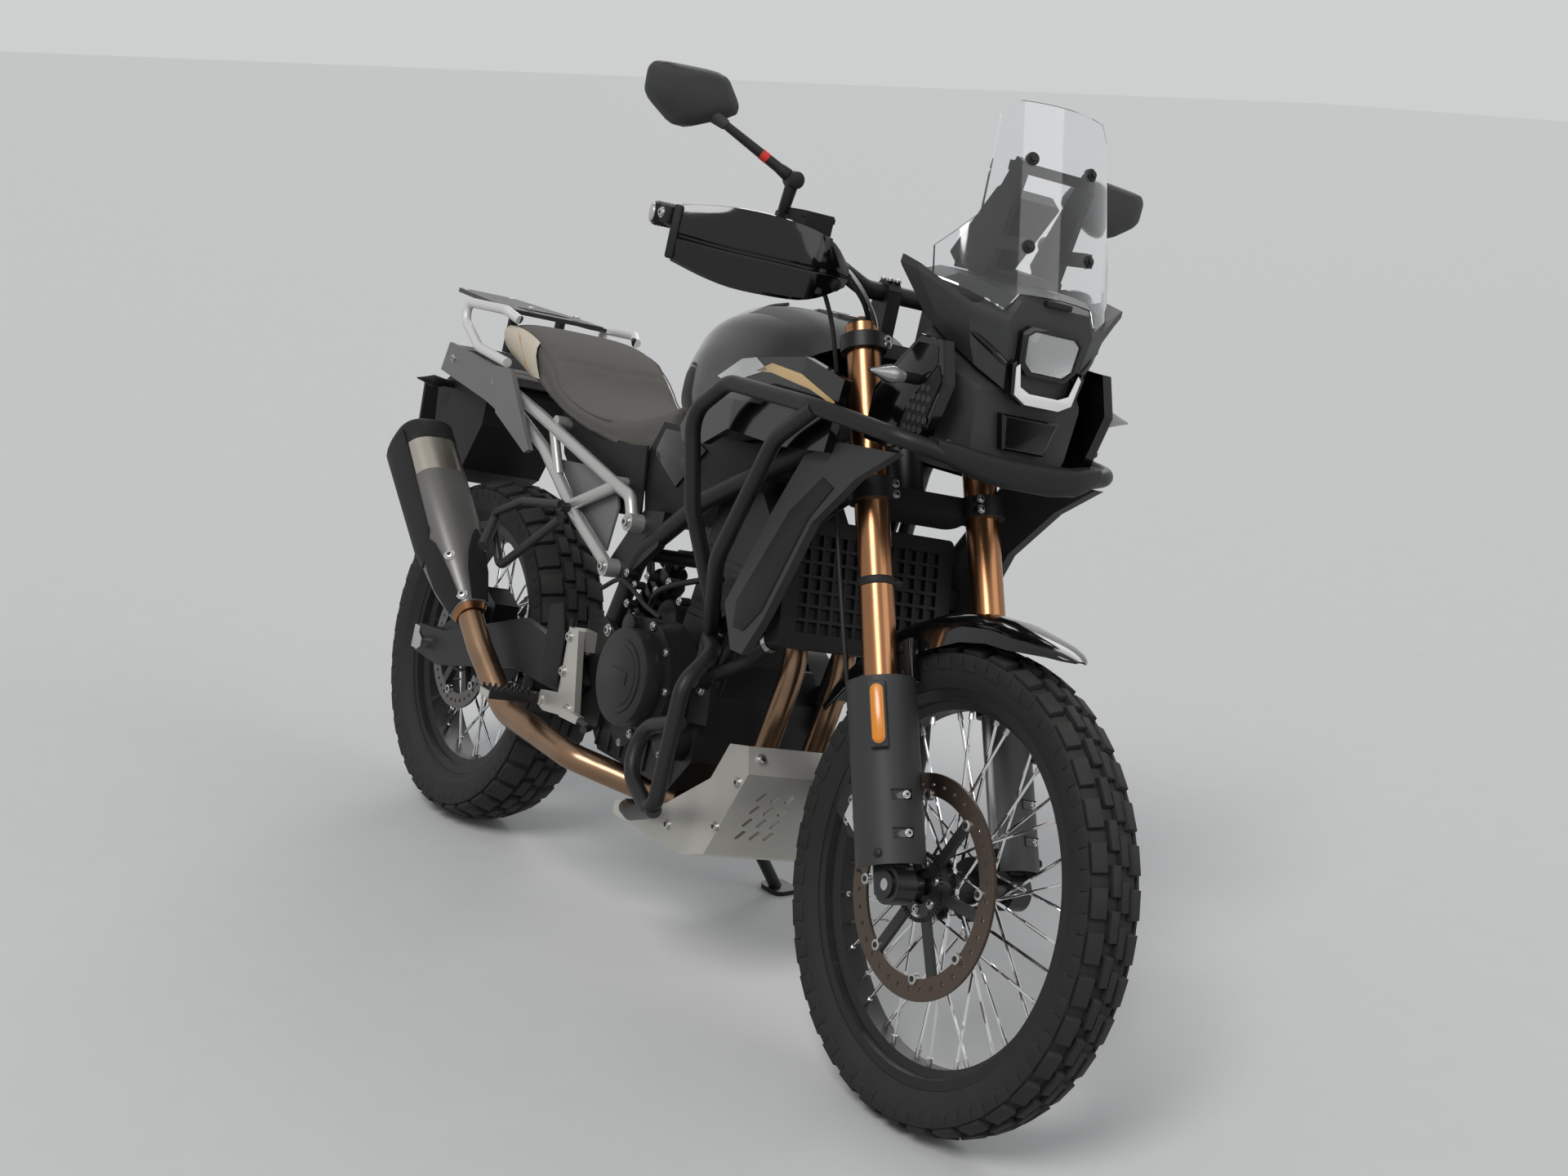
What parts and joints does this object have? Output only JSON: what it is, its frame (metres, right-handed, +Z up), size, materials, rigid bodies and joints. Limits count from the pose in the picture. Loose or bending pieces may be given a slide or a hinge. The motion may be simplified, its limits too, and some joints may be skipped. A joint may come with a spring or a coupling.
{
  "type": "adventure motorcycle",
  "caption": "Adventure motorcycle with laced wheels, upside-down fork, clear screen, hand guards, crash bars and a tail rack, leaning on its side stand; it steers, rolls and folds the stand.",
  "frame": {"origin": "centre of the box around the parked machine, on the ground under its tyres and stand", "axes": "+X forward along the machine, +Y to its left, the side it leans to, +Z up from level ground"},
  "size_m": [2.2001, 0.9494, 1.4722],
  "materials": {
    "black_paint": "satin",
    "gloss_black": "gloss",
    "matte_black": "matte",
    "charcoal": "matte",
    "silver_paint": "satin",
    "bronze": "satin",
    "alloy": "satin",
    "dark_alloy": "satin",
    "steel": "satin",
    "chain_steel": "satin",
    "chrome": "polished",
    "rubber": "matte",
    "tyre": "matte",
    "screen": "clear",
    "lens": "clear",
    "amber": "gloss",
    "seat_cover": "grainy",
    "exhaust": "satin"
  },
  "bodies": {
    "chassis": {"frame": "black_paint", "subframe": "silver_paint", "engine": "dark_alloy", "radiator": "dark_alloy", "fuel_tank": "gloss_black", "tank_shrouds": "gloss_black", "radiator_cheeks": "charcoal", "nose_cowl": "charcoal", "headlamps": "lens", "windscreen": "screen", "dash": "matte_black", "crash_bars": "black_paint", "skid_plate": "alloy", "exhaust_headers": "bronze", "silencer": "exhaust", "seat": "seat_cover", "rear_rack": "matte_black", "tail_panels": "silver_paint", "plate_hanger": "matte_black", "signal_lamps": "matte_black", "swingarm": "alloy", "rear_axle": "steel", "rear_shock": "steel", "drive_chain": "chain_steel", "rear_caliper": "dark_alloy", "footrests": "alloy"},
    "steering": {"triple_clamps": "black_paint", "fork_tubes": "bronze", "fork_legs": "chrome", "fork_guards": "matte_black", "front_fender": "gloss_black", "front_axle": "steel", "front_caliper": "dark_alloy", "handlebar": "black_paint", "handguards": "gloss_black", "mirrors": "matte_black", "bar_controls": "matte_black", "brake_hose": "rubber"},
    "front_wheel": {"front_tyre": "tyre", "front_rim": "black_paint", "front_disc": "steel"},
    "rear_wheel": {"rear_tyre": "tyre", "rear_rim": "black_paint", "rear_disc": "steel"},
    "stand": {"side_stand": "black_paint"}
  },
  "joints": [
    {"name": "steering_turn", "type": "hinge", "parent": "chassis", "child": "steering", "pos_m": [0.3913, -0.07603, 0.93272], "axis": [-0.4458, 0.1769, 0.8775], "range_deg": [-36, 36]},
    {"name": "front_wheel_spin", "type": "hinge", "parent": "steering", "child": "front_wheel", "pos_m": [0.75256, -0.195, 0.3425], "axis": [-0.0001, 0.9803, -0.1977], "continuous": true},
    {"name": "rear_wheel_spin", "type": "hinge", "parent": "chassis", "child": "rear_wheel", "pos_m": [-0.75245, -0.19915, 0.32267], "axis": [-0.0001, 0.9803, -0.1977], "continuous": true},
    {"name": "side_stand_fold", "type": "hinge", "parent": "chassis", "child": "stand", "pos_m": [-0.15248, -0.05618, 0.26243], "axis": [0.0469, 0.8857, 0.4618], "range_deg": [0, 85]}
  ]
}
